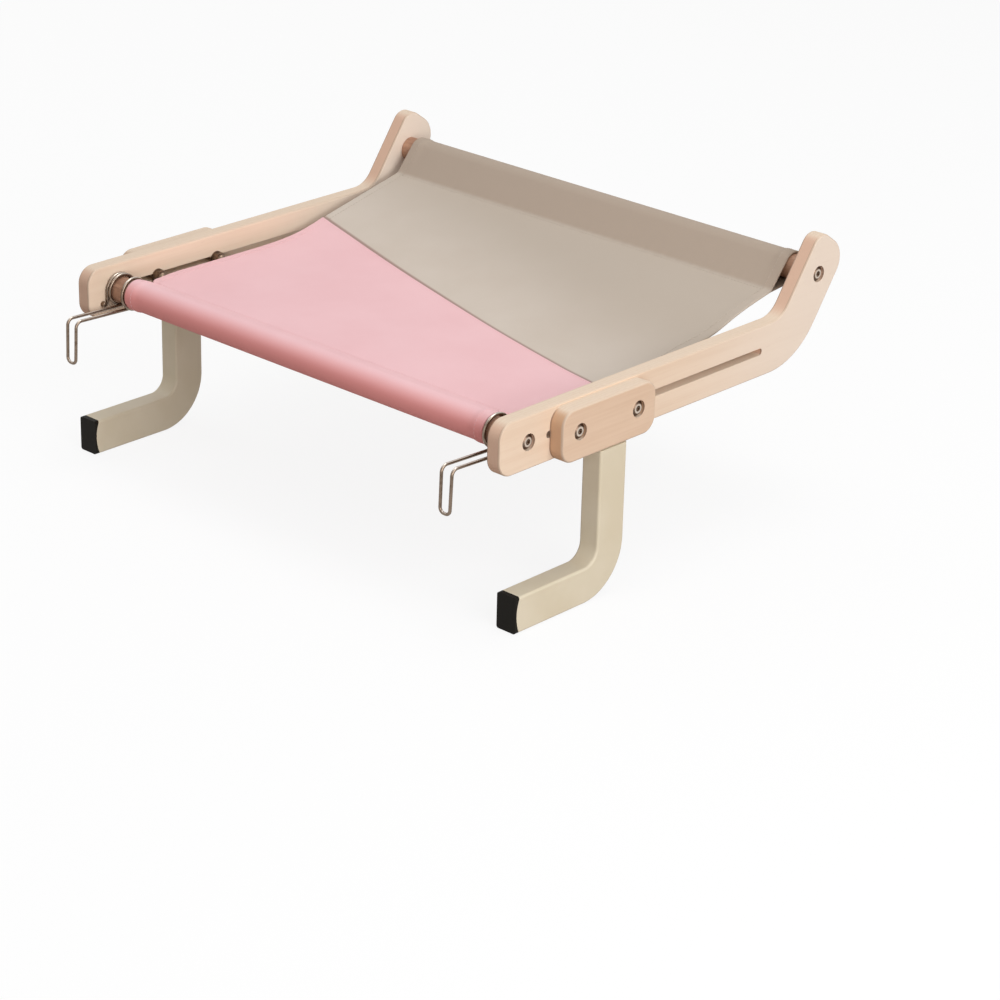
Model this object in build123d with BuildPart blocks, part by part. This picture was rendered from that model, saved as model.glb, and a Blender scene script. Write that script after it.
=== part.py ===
from build123d import *
import math
import os

# Sofa armrest cat hammock. Two bent side boards are joined by two round rails, which carry a fabric
# sling. Two L-shaped legs slide along the boards' slots and clamp the hammock on a sofa arm, and two
# sprung wire hooks on the front rail press down on the arm's top.
# Millimetres. X = 0 is the middle, Y = 0 the boards' front ends and Z = 0 the boards' undersides,
# which rest on the arm. The legs' lower limbs reach forwards, towards -Y.

overall_width = 470
cut_over = 1  # how far a cutting shape runs past the face it cuts

# clearances
slide_gap = 0.1  # flat faces that slide on each other
bolt_gap = 0.25  # round a bolt's shank in its hole
seat_gap = 0.05  # round a pin, insert or thread in its seat
head_gap = 0.4  # round a bolt's head in its recess
rest_gap = 0.1  # between pieces that lie against each other

# side boards, bent plywood
board_thick = 12
board_wide = 41
board_edge = 1.5  # rounding of the long edges
elbow_at = 320  # from the front end to the corner of the board's centre line
rise_angle = 55
back_rail_up = 55.3  # from that corner up to the rear rail's bolt
bolt_to_end = 30
raised_bolt_to_end = 28.9
front_corner = 13
raised_front_corner = 12
raised_back_corner = 18
elbow_inner = 22
slot_from = 48
slot_to = 287

# rails, round wood
rail_r = 10
rail_edge = 0.8

# furniture bolts with flat bevelled heads
bolt_r = 2.5
bolt_tip = 0.6
head_r = 6
head_flat_r = 3.7
head_thick = 2.6
head_rim = 0.8
head_sunk = 0.6
socket_wide = 4
socket_deep = 1.8
bolt_short = 0.8  # how far a rail bolt's tip stops short of its insert's end

# threaded inserts in the rails' ends
insert_r = 4.5
insert_long = 18
insert_slot = 1.2
insert_edge = 0.5

# cap nuts and washers inside the boards
nut_wide = 10
nut_hex_high = 4.2
dome_high = 3.8
dome_r = 4.6
dome_rim = 0.4
nut_bore = 6
washer_r = 6
washer_thick = 1.2

# cover plates
cover_thick = 12
cover_long = 100
cover_high = 40
cover_drop = 1  # how far its underside stands below the board's
cover_at = 101.5  # its middle, from the boards' front ends
cover_corner = 12
cover_edge = 2
clamp_spacing = 62

# legs, bent rectangular tube
tube_wide = 18
tube_deep = 28
tube_wall = 1.5
tube_corner = 2
post_back = 6  # from the cover's middle back to the post's middle
clamp_gap = 88  # from the boards' undersides down to the lower limb
limb_tip = 8  # from the boards' front ends back to the end cap's face
bend_r = 27
end_bow = 3  # the tube's end stands this much further out at mid-height

# steel bracket on the tube's top, let into the back of the cover
tongue_thick = 3
tongue_past = 11  # past each clamp bolt
tongue_over = 13  # above the clamp bolts
tongue_corner = 5
lid_thick = 2
lid_under = 1.2  # from the boards' undersides down to the lid

# end caps
cap_lip = 1.2
cap_plug_long = 12
cap_plug_wall = 2
cap_rib = 0.5
cap_rib_wide = 1.5
cap_rib_pitch = 4

# hooks and their coils, one size of spring wire
wire_r = 1.25
coil_loose = 0.9  # between the front rail and the wire
coil_pitch = 3
coil_off_board = 0.3
tail_past = 1  # past the stop pin's middle
outer_coil_from = 180  # degrees round the rail from the back, where the tail leaves
inner_coil_turn = 360
arm_rise = 2.3  # degrees
arm_long = 56
arm_spread = 10
loop_long = 34
loop_spread = 9.4
arm_bend = 5
loop_bend = 3.9
peg_bend = 2.6
peg_long = 5
peg_spare = 0.5  # depth left in its hole

# pins that stop the coils' tails
pin_r = 2.2
pin_out = 3.6
pin_in = 6
pin_round = 0.9
pin_below = 9.5  # from the rail's middle down to the pin

# sling
cloth = 1.2
cloth_gap = 0.2
sleeve_off_coil = 0.5
notch_deep = 17  # beside the coils, from the front rail's middle back to where the cloth widens
notch_slant = 10
rail_bare = 12  # of the rear rail, between its sleeve and each board
floor_up = 3.5  # from the front rail's middle up to the cloth's lowest stretch
floor_end_share = 0.51  # of the way from the front rail to the rear one
rise_bend = 250
front_sleeve_reach = 23  # from the front rail's middle back to the sleeve's stitching
back_sleeve_reach = 29.6  # from the rear rail's middle to the sleeve's stitching
back_sleeve_dip = 25.6  # degrees
seam_left_share = 0.647
seam_right_share = 0.317

# places worked out from the sizes
board_outer_x = overall_width / 2 - cover_thick - slide_gap
board_inner_x = board_outer_x - board_thick
mid_z = board_wide / 2
along = Vector(0, math.cos(math.radians(rise_angle)), math.sin(math.radians(rise_angle)))
across = Vector(0, -along.Z, along.Y)
front_rail = Vector(0, bolt_to_end, mid_z)
back_rail = Vector(0, elbow_at, mid_z) + along * back_rail_up
recess_deep = head_thick + head_sunk
rail_bolt_long = board_thick - recess_deep + insert_long - bolt_short
slot_wide = 2 * (bolt_r + bolt_gap)
clamp_ys = [cover_at - clamp_spacing / 2, cover_at + clamp_spacing / 2]
cover_z = cover_high / 2 - cover_drop
tube_x = overall_width / 2 - tube_wide / 2
post_y = cover_at + post_back
limb_z = -clamp_gap - tube_deep / 2
tube_top = -lid_under - lid_thick
coil_r = rail_r + coil_loose + wire_r
wire_at_tail = board_inner_x - coil_off_board - wire_r
pin_y = front_rail.Y - coil_r - wire_r - rest_gap - pin_r
pin_z = front_rail.Z - pin_below


def board_point(distance, side):
    # a point beside the raised end's centre line
    at = Vector(0, elbow_at, mid_z) + along * distance + across * side
    return (at.Y, at.Z)


def bolt_recess(y, z, face_x):
    # sunk seat for a bolt's head and the hole behind it, cut into the part being built
    through = max(board_thick, cover_thick) + cut_over
    for hole_r, deep in ((head_r + head_gap, recess_deep), (bolt_r + bolt_gap, through)):
        with BuildSketch(Plane.YZ.offset(face_x)) as hole:
            with Locations((y, z)):
                Circle(hole_r)
        extrude(hole.sketch, amount=-deep, mode=Mode.SUBTRACT)


# side board
half_turn = math.tan(math.radians(rise_angle / 2)) * board_wide / 2
raised_end = back_rail_up + raised_bolt_to_end
outline = [
    (0, 0),
    (0, board_wide),
    (elbow_at - half_turn, board_wide),
    board_point(raised_end, board_wide / 2),
    board_point(raised_end, -board_wide / 2),
    (elbow_at + half_turn, 0),
]
outline_radii = [
    front_corner,
    front_corner,
    elbow_inner,
    raised_front_corner,
    raised_back_corner,
    elbow_inner + board_wide,
]
with BuildPart() as side_board:
    with BuildSketch(Plane.YZ.offset(board_inner_x)):
        with BuildLine():
            FilletPolyline(*outline, radius=outline_radii, close=True)
        make_face()
    extrude(amount=board_thick)
    fillet(side_board.faces().filter_by(Axis.X).edges(), radius=board_edge)
    with BuildSketch(Plane.YZ.offset(board_inner_x)):
        with Locations(((slot_from + slot_to) / 2, mid_z)):
            SlotOverall(slot_to - slot_from, slot_wide)
    extrude(amount=board_thick, mode=Mode.SUBTRACT)
    for rail in (front_rail, back_rail):
        bolt_recess(rail.Y, rail.Z, board_outer_x)
    with BuildSketch(Plane.YZ.offset(board_inner_x)):
        with Locations((pin_y, pin_z)):
            Circle(pin_r + seat_gap)
    extrude(amount=pin_in, mode=Mode.SUBTRACT)


# rails
def wood_rail(at):
    # a round rail between the boards, bored at both ends for its inserts
    with BuildPart() as rail:
        with BuildSketch(Plane.YZ):
            with Locations((at.Y, at.Z)):
                Circle(rail_r)
        extrude(amount=board_inner_x, both=True)
        chamfer(rail.faces().filter_by(Axis.X).edges(), length=rail_edge)
        for end in (-1, 1):
            with BuildSketch(Plane.YZ.offset(end * board_inner_x)):
                with Locations((at.Y, at.Z)):
                    Circle(insert_r + seat_gap)
            extrude(amount=-end * insert_long, mode=Mode.SUBTRACT)
    return rail


# fasteners, all along X on the right-hand side
def flat_head_bolt(y, z, seat_x, shank_long):
    # the head stands outwards from its seat and the shank runs inwards
    with BuildPart() as bolt:
        with BuildSketch(Plane(origin=(seat_x, y, z), x_dir=(1, 0, 0), z_dir=(0, -1, 0))):
            with BuildLine():
                Polyline(
                    (-shank_long, 0),
                    (-shank_long, bolt_r - bolt_tip),
                    (bolt_tip - shank_long, bolt_r),
                    (0, bolt_r),
                    (0, head_r),
                    (head_rim, head_r),
                    (head_thick, head_flat_r),
                    (head_thick, 0),
                    close=True,
                )
            make_face()
        revolve(axis=Axis((0, y, z), (1, 0, 0)))
        with BuildSketch(Plane.YZ.offset(seat_x + head_thick)):
            with Locations((y, z)):
                RegularPolygon(socket_wide / 2, side_count=6, major_radius=False)
        extrude(amount=-socket_deep, mode=Mode.SUBTRACT)
    return bolt


def rail_insert(at):
    # threaded barrel flush with the rail's right end, with a slot to drive it
    with BuildPart() as insert:
        with BuildSketch(Plane.YZ.offset(board_inner_x)):
            with Locations((at.Y, at.Z)):
                Circle(insert_r)
        extrude(amount=-insert_long)
        chamfer(insert.edges().sort_by(Axis.X)[0], length=insert_edge)
        with BuildSketch(Plane.YZ.offset(board_inner_x)):
            with Locations((at.Y, at.Z)):
                Circle(bolt_r + seat_gap)
        extrude(amount=-insert_long, mode=Mode.SUBTRACT)
        with BuildSketch(Plane.YZ.offset(board_inner_x)):
            with Locations((at.Y, at.Z)):
                Rectangle(2 * (insert_r + cut_over), insert_slot)
        extrude(amount=-insert_slot, mode=Mode.SUBTRACT)
    return insert


def washer(y, z):
    with BuildPart() as ring:
        with BuildSketch(Plane.YZ.offset(board_inner_x - slide_gap)):
            with Locations((y, z)):
                Circle(washer_r)
                Circle(bolt_r + bolt_gap, mode=Mode.SUBTRACT)
        extrude(amount=-washer_thick)
    return ring


nut_seat_x = board_inner_x - slide_gap - washer_thick


def cap_nut(y, z):
    # hexagon against the washer, closed by a dome
    with BuildPart() as nut:
        with BuildSketch(Plane.YZ.offset(nut_seat_x)):
            with Locations((y, z)):
                RegularPolygon(nut_wide / 2, side_count=6, major_radius=False)
        extrude(amount=-nut_hex_high)
        with BuildSketch(Plane.YZ.offset(nut_seat_x)):
            with Locations((y, z)):
                Circle(dome_r)
        extrude(amount=-nut_hex_high - dome_high)
        fillet(nut.edges().sort_by(Axis.X)[0], radius=dome_high - dome_rim)
        with BuildSketch(Plane.YZ.offset(nut_seat_x)):
            with Locations((y, z)):
                Circle(bolt_r + seat_gap)
        extrude(amount=-nut_bore, mode=Mode.SUBTRACT)
    return nut


# cover plate
with BuildPart() as cover_plate:
    with BuildSketch(Plane.YZ.offset(overall_width / 2)):
        with Locations((cover_at, cover_z)):
            RectangleRounded(cover_long, cover_high, cover_corner)
    extrude(amount=-cover_thick)
    fillet(cover_plate.faces().sort_by(Axis.X)[-1].edges(), radius=cover_edge)
    for y in clamp_ys:
        bolt_recess(y, mid_z, overall_width / 2)
    # rebate for the bracket's tongue, open at the bottom
    tongue_half = clamp_spacing / 2 + tongue_past
    rebate_top = mid_z + tongue_over + rest_gap
    with BuildSketch(Plane.YZ.offset(board_outer_x + slide_gap)):
        with BuildLine():
            Polyline(
                (cover_at - tongue_half - rest_gap, -cover_drop - cut_over),
                (cover_at - tongue_half - rest_gap, rebate_top),
                (cover_at + tongue_half + rest_gap, rebate_top),
                (cover_at + tongue_half + rest_gap, -cover_drop - cut_over),
                close=True,
            )
        make_face()
    extrude(amount=tongue_thick + 2 * rest_gap, mode=Mode.SUBTRACT)

# bracket: a tongue behind the cover, standing on a lid that closes the tube
tongue_x = board_outer_x + slide_gap + rest_gap
with BuildPart() as leg_bracket:
    with BuildSketch(Plane.YZ.offset(tongue_x)):
        with BuildLine():
            FilletPolyline(
                (cover_at - tongue_half, -lid_under),
                (cover_at - tongue_half, mid_z + tongue_over),
                (cover_at + tongue_half, mid_z + tongue_over),
                (cover_at + tongue_half, -lid_under),
                radius=[tongue_corner] * 4,
                close=True,
            )
        make_face()
        with Locations([(y, mid_z) for y in clamp_ys]):
            Circle(bolt_r + bolt_gap, mode=Mode.SUBTRACT)
    extrude(amount=tongue_thick)
    with BuildSketch(Plane.XY.offset(-lid_under)):
        with Locations((tube_x, post_y)):
            RectangleRounded(tube_wide, tube_deep, tube_corner)
    extrude(amount=-lid_thick)


# leg tube
def tube_section(grow):
    # the tube's outline in the sketch being built, larger by grow all round
    RectangleRounded(tube_wide + 2 * grow, tube_deep + 2 * grow, tube_corner + grow)


cap_edge_y = limb_tip + cap_lip + end_bow


def end_arc():
    # the bowed line where the tube's end meets its cap, seen from the side
    ThreePointArc(
        (cap_edge_y, limb_z + tube_deep / 2),
        (limb_tip + cap_lip, limb_z),
        (cap_edge_y, limb_z - tube_deep / 2),
    )


with BuildPart() as leg_tube:
    with BuildLine() as tube_path:
        FilletPolyline(
            (tube_x, post_y, tube_top),
            (tube_x, post_y, limb_z),
            (tube_x, limb_tip, limb_z),
            radius=bend_r,
        )
    with BuildSketch(Plane(origin=tube_path.line @ 0, x_dir=(1, 0, 0), z_dir=tube_path.line % 0)):
        tube_section(0)
        RectangleRounded(
            tube_wide - 2 * tube_wall,
            tube_deep - 2 * tube_wall,
            tube_corner - tube_wall,
            mode=Mode.SUBTRACT,
        )
    sweep()
    with BuildSketch(Plane.YZ.offset(tube_x)):
        with BuildLine():
            end_arc()
            Polyline(
                (cap_edge_y, limb_z - tube_deep / 2),
                (cap_edge_y, limb_z - tube_deep / 2 - cut_over),
                (limb_tip - cut_over, limb_z - tube_deep / 2 - cut_over),
                (limb_tip - cut_over, limb_z + tube_deep / 2 + cut_over),
                (cap_edge_y, limb_z + tube_deep / 2 + cut_over),
                (cap_edge_y, limb_z + tube_deep / 2),
            )
        make_face()
    extrude(amount=tube_wide / 2 + cut_over, both=True, mode=Mode.SUBTRACT)

# end cap: a flat face with a bowed back edge, and a ribbed plug inside the tube
plug_wide = tube_wide - 2 * (tube_wall + cap_rib)
plug_deep = tube_deep - 2 * (tube_wall + cap_rib)
rib_wide = plug_wide + 2 * (cap_rib - seat_gap)
rib_deep = plug_deep + 2 * (cap_rib - seat_gap)
plug_end = cap_edge_y + cap_plug_long
with BuildPart() as leg_end_cap:
    with BuildSketch(Plane.XZ.offset(-limb_tip)):
        with Locations((tube_x, limb_z)):
            tube_section(0)
    extrude(amount=limb_tip - cap_edge_y)
    with BuildSketch(Plane.YZ.offset(tube_x)):
        with BuildLine():
            end_arc()
            Line((cap_edge_y, limb_z - tube_deep / 2), (cap_edge_y, limb_z + tube_deep / 2))
        make_face()
    extrude(amount=tube_wide / 2 + cut_over, both=True, mode=Mode.SUBTRACT)
    with BuildSketch(Plane.XZ.offset(-limb_tip - cap_lip)):
        with Locations((tube_x, limb_z)):
            Rectangle(plug_wide, plug_deep)
            Rectangle(plug_wide - 2 * cap_plug_wall, plug_deep - 2 * cap_plug_wall, mode=Mode.SUBTRACT)
    extrude(amount=limb_tip + cap_lip - plug_end)
    for rib in range(2):
        with BuildSketch(Plane.XZ.offset(-cap_edge_y - (rib + 1) * cap_rib_pitch)):
            with Locations((tube_x, limb_z)):
                RectangleRounded(rib_wide, rib_deep, tube_corner - tube_wall)
                Rectangle(plug_wide, plug_deep, mode=Mode.SUBTRACT)
        extrude(amount=-cap_rib_wide)


# spring wire
def ring_point(at_x, angle):
    # a point on the coils' centre line round the front rail
    turn = math.radians(angle)
    return Vector(at_x, front_rail.Y + coil_r * math.cos(turn), front_rail.Z + coil_r * math.sin(turn))


def ring_heading(angle, way, lead):
    # the wire's direction there; way is +1 or -1 round the rail
    turn = math.radians(angle)
    return Vector(lead, -way * math.sin(turn), way * math.cos(turn)).normalized()


def coil_arcs(from_x, to_x, from_angle, sweep_angle):
    # quarter turns in the line being built, each of two arcs that meet smoothly
    steps = math.ceil(abs(sweep_angle) / 90)
    way = math.copysign(1, sweep_angle)
    lead = (to_x - from_x) / (math.radians(abs(sweep_angle)) * coil_r)
    knots = []
    for k in range(steps + 1):
        angle = from_angle + sweep_angle * k / steps
        place = ring_point(from_x + (to_x - from_x) * k / steps, angle)
        knots.append((place, ring_heading(angle, way, lead if 0 < k < steps else 0)))
    for (start, heading), (finish, next_heading) in zip(knots, knots[1:]):
        chord = finish - start
        both = heading + next_heading
        spare = 4 - both.dot(both)
        reach = (math.sqrt(chord.dot(both) ** 2 + spare * chord.dot(chord)) - chord.dot(both)) / spare
        first = start + heading * reach
        last = finish - next_heading * reach
        TangentArc(start, (first + last) / 2, tangent=heading)
        TangentArc((first + last) / 2, finish, tangent=last - first)


def wire_tube(path):
    # round wire along the line, in the part being built
    with BuildSketch(Plane(origin=path.line @ 0, z_dir=path.line % 0)) as section:
        Circle(wire_r)
    sweep(section.sketch, path=path.line)


def least_gap(path, samples=500):
    # the narrowest space between stretches of one wire that lie half a turn or more apart
    wire = path.wire()
    points = [tuple(wire @ (k / samples)) for k in range(samples + 1)]
    apart = math.ceil(math.pi * coil_r / (wire.length / samples))
    pairs = ((points[i], points[j]) for i in range(samples) for j in range(i + apart, samples + 1))
    return min(math.dist(a, b) for a, b in pairs) - 2 * wire_r


arm_angle = -90 - arm_rise
outer_sweep = arm_angle - 360 - outer_coil_from
outer_arm_x = wire_at_tail - coil_pitch * abs(outer_sweep) / 360
inner_arm_x = outer_arm_x - arm_spread
inner_end_x = inner_arm_x - coil_pitch * inner_coil_turn / 360

with BuildPart() as hook_spring_outer:
    with BuildLine() as outer_path:
        tail_top = ring_point(wire_at_tail, outer_coil_from)
        Line(tail_top - ring_heading(outer_coil_from, -1, 0) * (pin_below + tail_past), tail_top)
        coil_arcs(wire_at_tail, outer_arm_x, outer_coil_from, outer_sweep)
    wire_tube(outer_path)

# the inner coil ends in a peg that turns up into the front rail
inner_end = ring_point(inner_end_x, arm_angle + inner_coil_turn)
inner_way = ring_heading(arm_angle + inner_coil_turn, 1, 0)
peg_way = Vector(0, front_rail.Y - inner_end.Y, front_rail.Z - inner_end.Z).normalized()
peg_start = inner_end + inner_way * peg_bend + peg_way * peg_bend
with BuildPart() as hook_spring_inner:
    with BuildLine() as inner_path:
        coil_arcs(inner_arm_x, inner_end_x, arm_angle, inner_coil_turn)
        TangentArc(inner_end, peg_start, tangent=inner_way)
        Line(peg_start, peg_start + peg_way * peg_long)
    wire_tube(inner_path)

with BuildPart() as hook_wire:
    arm_way = ring_heading(arm_angle, -1, 0)
    loop_way = Vector(0, -arm_way.Z, arm_way.Y)
    outer_start = ring_point(outer_arm_x, arm_angle)
    inner_start = ring_point(inner_arm_x, arm_angle)
    to_bend = arm_way * arm_long
    to_loop = to_bend + loop_way * loop_long
    loop_side = Vector((arm_spread - loop_spread) / 2, 0, 0)
    with BuildLine() as hook_path:
        FilletPolyline(
            outer_start,
            outer_start + to_bend,
            outer_start + to_loop - loop_side,
            inner_start + to_loop + loop_side,
            inner_start + to_bend,
            inner_start,
            radius=[arm_bend, loop_bend, loop_bend, arm_bend],
        )
    wire_tube(hook_path)

with BuildPart() as hook_stop_pin:
    with BuildSketch(Plane.YZ.offset(board_inner_x + pin_in)):
        with Locations((pin_y, pin_z)):
            Circle(pin_r)
    extrude(amount=-pin_in - pin_out)
    fillet(hook_stop_pin.edges().sort_by(Axis.X)[0], radius=pin_round)

front_rail_piece = wood_rail(front_rail)
with BuildPart() as front_cross_rail:
    add(front_rail_piece.part)
    for side in (-1, 1):
        peg_from = peg_start - peg_way * peg_bend
        with BuildSketch(Plane(origin=(side * peg_from.X, peg_from.Y, peg_from.Z), z_dir=peg_way)):
            Circle(wire_r + seat_gap)
        extrude(amount=peg_bend + peg_long + peg_spare, mode=Mode.SUBTRACT)

# sling: the sheet and a drop-shaped sleeve round each rail
sleeve_r = rail_r + cloth_gap + cloth
front_sleeve_half = inner_end_x - wire_r - sleeve_off_coil
back_sleeve_half = board_inner_x - rail_bare
floor_z = front_rail.Z + floor_up
floor_from = (front_rail.Y + front_sleeve_reach, floor_z)
rail_span = back_rail.Y - front_rail.Y
floor_to = (front_rail.Y + floor_end_share * rail_span, floor_z)
dip = math.radians(back_sleeve_dip)
front_stitching = Vector(0, floor_from[0], floor_z - cloth)
back_stitching = back_rail - Vector(0, math.cos(dip), math.sin(dip)) * back_sleeve_reach


def sleeve_round(rail, stitching, grow, tip_in):
    # the edges of a rail's round and of the sleeve's tip, tip_in short of the stitching
    tip = stitching + (rail - stitching).normalized() * tip_in
    with BuildSketch(mode=Mode.PRIVATE) as ends:
        with Locations((rail.Y, rail.Z)):
            Circle(rail_r + cloth_gap + grow)
        with Locations((tip.Y, tip.Z)):
            Circle(cloth / 2 + grow / 2)
    return ends.sketch.edges()


with BuildPart() as sling_cloth:
    with BuildSketch(Plane.YZ):
        with BuildLine():
            floor_end = (back_stitching.Y, back_stitching.Z)
            FilletPolyline(floor_from, floor_to, floor_end, radius=[rise_bend])
            offset(amount=cloth, side=Side.RIGHT)
        make_face()
        for rail, stitching in ((front_rail, front_stitching), (back_rail, back_stitching)):
            make_hull(sleeve_round(rail, stitching, cloth, 0))
            make_hull(sleeve_round(rail, stitching, 0, 2 * cloth), mode=Mode.SUBTRACT)
    extrude(amount=board_inner_x, both=True)
    with BuildSketch(Plane.XY.offset(front_rail.Z - sleeve_r - cut_over)):
        with BuildLine():
            edge_line = Polyline(
                (0, front_rail.Y - sleeve_r - cut_over),
                (front_sleeve_half, front_rail.Y - sleeve_r - cut_over),
                (front_sleeve_half, front_rail.Y + notch_deep),
                (back_sleeve_half, front_rail.Y + notch_deep + notch_slant),
                (back_sleeve_half, back_rail.Y + sleeve_r + cut_over),
                (0, back_rail.Y + sleeve_r + cut_over),
            )
            mirror(edge_line, about=Plane.YZ)
        make_face()
    extrude(amount=back_rail.Z - front_rail.Z + 2 * (sleeve_r + cut_over), mode=Mode.INTERSECT)

seam_left = Vector(-back_sleeve_half, front_rail.Y + seam_left_share * rail_span, 0)
seam_right = Vector(back_sleeve_half, front_rail.Y + seam_right_share * rail_span, 0)
seam_way = seam_right - seam_left
seam_plane = Plane(origin=seam_left, z_dir=(-seam_way.Y, seam_way.X, 0))
with BuildPart() as sling_front_panel:
    add(sling_cloth.part)
    split(bisect_by=seam_plane, keep=Keep.BOTTOM)
with BuildPart() as sling_back_panel:
    add(sling_cloth.part)
    split(bisect_by=seam_plane, keep=Keep.TOP)

# every piece that the right-hand side has and the left-hand side mirrors
clamp_seat_x = overall_width / 2 - recess_deep
clamp_bolt_long = clamp_seat_x - nut_seat_x + nut_bore - bolt_tip
rail_seat_x = board_outer_x - recess_deep
paired = {
    "side_board": side_board,
    "cover_plate": cover_plate,
    "leg_tube": leg_tube,
    "leg_bracket": leg_bracket,
    "leg_end_cap": leg_end_cap,
    "hook_wire": hook_wire,
    "hook_spring_outer": hook_spring_outer,
    "hook_spring_inner": hook_spring_inner,
    "hook_stop_pin": hook_stop_pin,
}
for name, y in zip(("front", "back"), clamp_ys):
    paired[f"clamp_bolt_{name}"] = flat_head_bolt(y, mid_z, clamp_seat_x, clamp_bolt_long)
    paired[f"clamp_washer_{name}"] = washer(y, mid_z)
    paired[f"clamp_nut_{name}"] = cap_nut(y, mid_z)
for name, rail in (("front", front_rail), ("back", back_rail)):
    paired[f"rail_bolt_{name}"] = flat_head_bolt(rail.Y, rail.Z, rail_seat_x, rail_bolt_long)
    paired[f"rail_insert_{name}"] = rail_insert(rail)

pieces = {
    "front_rail": front_cross_rail,
    "back_rail": wood_rail(back_rail),
    "sling_front_panel": sling_front_panel,
    "sling_back_panel": sling_back_panel,
}
for name, piece in paired.items():
    with BuildPart() as left_piece:
        mirror(piece.part, about=Plane.YZ)
    pieces[f"{name}_right"] = piece
    pieces[f"{name}_left"] = left_piece

os.makedirs("parts", exist_ok=True)
for name, piece in pieces.items():
    piece.part.label = name
    export_step(piece.part, f"parts/{name}.step")

print("outer coil, least gap to itself", round(least_gap(outer_path), 3))
print("inner coil, least gap to itself", round(least_gap(inner_path), 3))
travel_back = slot_to - bolt_r - bolt_gap - clamp_ys[1]
print("leg travel back to the slot's end", round(travel_back, 2))
print("rear rail at", tuple(round(v, 2) for v in back_rail))
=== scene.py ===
import bpy
import math
import numpy as np
from mathutils import Matrix, Vector


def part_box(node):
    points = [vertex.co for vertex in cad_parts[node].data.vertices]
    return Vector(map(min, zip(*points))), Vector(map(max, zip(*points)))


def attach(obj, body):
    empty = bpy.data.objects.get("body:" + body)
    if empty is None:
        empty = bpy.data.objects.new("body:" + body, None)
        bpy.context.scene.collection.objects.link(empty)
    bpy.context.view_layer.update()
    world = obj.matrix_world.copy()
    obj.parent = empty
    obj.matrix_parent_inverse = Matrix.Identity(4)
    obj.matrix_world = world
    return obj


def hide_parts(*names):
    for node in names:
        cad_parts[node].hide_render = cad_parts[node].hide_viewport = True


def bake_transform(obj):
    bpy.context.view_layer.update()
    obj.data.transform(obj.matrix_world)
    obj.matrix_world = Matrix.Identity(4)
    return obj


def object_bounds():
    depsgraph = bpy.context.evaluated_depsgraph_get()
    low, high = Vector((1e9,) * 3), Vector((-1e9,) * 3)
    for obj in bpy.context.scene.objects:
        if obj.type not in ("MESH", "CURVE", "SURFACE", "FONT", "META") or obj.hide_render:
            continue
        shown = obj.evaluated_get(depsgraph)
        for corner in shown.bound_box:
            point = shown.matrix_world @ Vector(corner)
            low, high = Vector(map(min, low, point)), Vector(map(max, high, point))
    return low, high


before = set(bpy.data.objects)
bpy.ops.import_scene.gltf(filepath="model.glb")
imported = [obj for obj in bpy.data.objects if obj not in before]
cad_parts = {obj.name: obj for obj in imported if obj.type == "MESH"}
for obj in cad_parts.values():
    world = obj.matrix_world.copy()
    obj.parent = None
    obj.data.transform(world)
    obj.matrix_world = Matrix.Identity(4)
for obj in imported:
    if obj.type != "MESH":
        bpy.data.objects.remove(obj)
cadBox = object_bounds()
sides = {"left": -1, "right": 1}
mm = 0.001

# places read from the frame
railLow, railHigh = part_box("front_rail")
railR = (railHigh.z - railLow.z) / 2
frontRail = (railLow + railHigh) / 2
backRail = sum(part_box("back_rail"), Vector()) / 2
boardLow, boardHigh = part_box("side_board_right")
coverLow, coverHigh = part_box("cover_plate_right")
print("frame loaded:", len(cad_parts), "nodes")


# shader maths as expressions

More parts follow.
